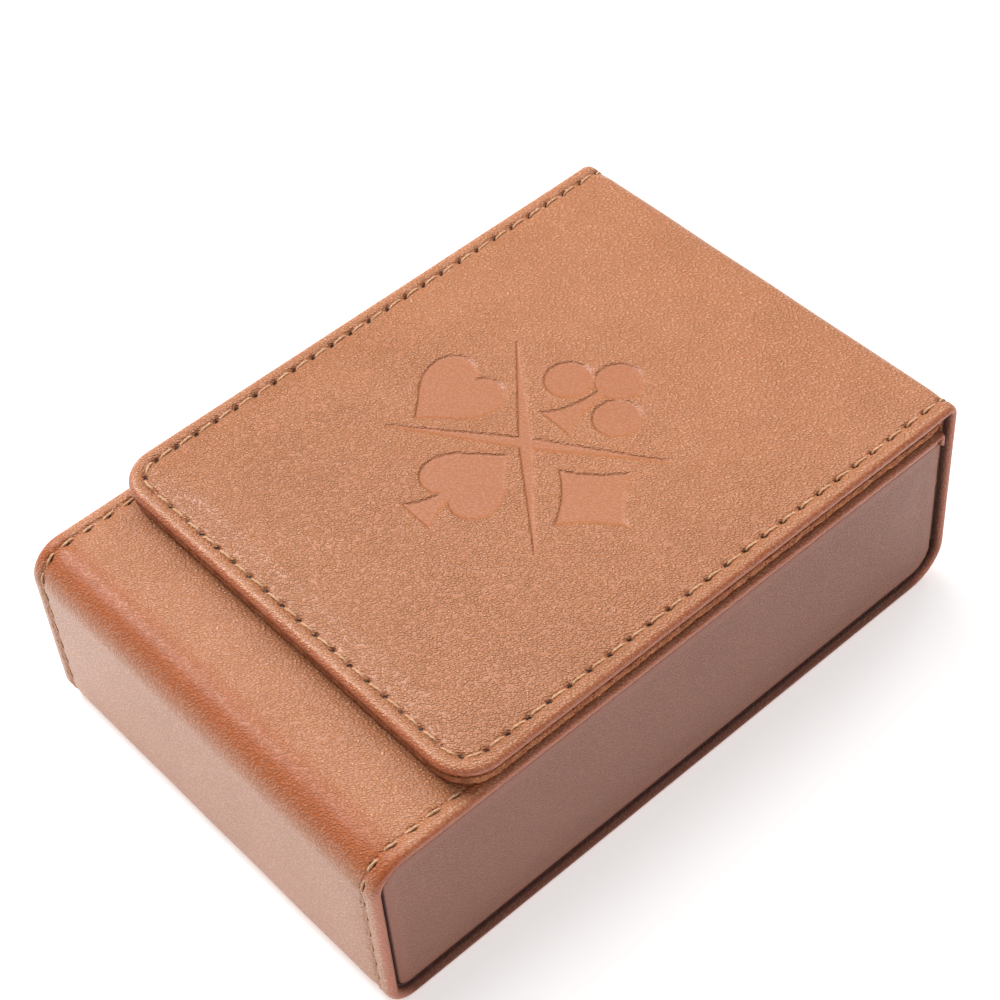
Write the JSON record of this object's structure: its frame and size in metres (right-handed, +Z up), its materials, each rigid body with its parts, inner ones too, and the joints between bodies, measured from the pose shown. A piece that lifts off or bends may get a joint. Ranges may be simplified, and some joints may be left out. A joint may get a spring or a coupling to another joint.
{
  "type": "playing card case",
  "caption": "Flat rectangular leather case for playing cards, with a long stitched flap that folds over the top from a hinged spine and has card suits pressed into it.",
  "frame": {"origin": "middle of the bottom face, on the surface the case lies on", "axes": "+X across the case, +Y from the closed front end to the spine behind the mouth, +Z up through the flap"},
  "size_m": [0.072, 0.1046, 0.0342],
  "materials": {
    "tan_leather": "fine pebble grain, satin",
    "side_leather": "smooth grain, satin",
    "suede": "raw suede",
    "lining": "short-nap microfibre",
    "board": "bookbinder's grey board",
    "thread": "waxed polyester thread",
    "steel": "nickel plated"
  },
  "bodies": {
    "case_body": {"body_cover": "tan_leather", "top_board": "board", "catch_plates": "steel", "front_end_board": "board", "bottom_board": "board", "well_lining": "lining", "left_side_cover": "side_leather", "left_side_board": "board", "left_side_lining": "lining", "left_body_stitching": "thread", "right_side_cover": "side_leather", "right_side_board": "board", "right_side_lining": "lining", "right_body_stitching": "thread"},
    "spine": {"spine_cover": "tan_leather", "spine_board": "board", "spine_lining": "lining", "spine_stitching": "thread"},
    "flap": {"flap_cover": "tan_leather", "flap_board": "board", "flap_magnets": "steel", "flap_lining": "suede", "flap_stitching": "thread"}
  },
  "joints": [
    {"name": "spine_fold", "type": "hinge", "parent": "case_body", "child": "spine", "pos_m": [0, 0.05096, 0.00129], "axis": [-1, 0, 0], "range_deg": [0, 90]},
    {"name": "flap_fold", "type": "hinge", "parent": "spine", "child": "flap", "pos_m": [0, 0.05182, 0.03377], "axis": [-1, 0, 0], "range_deg": [0, 90]}
  ]
}
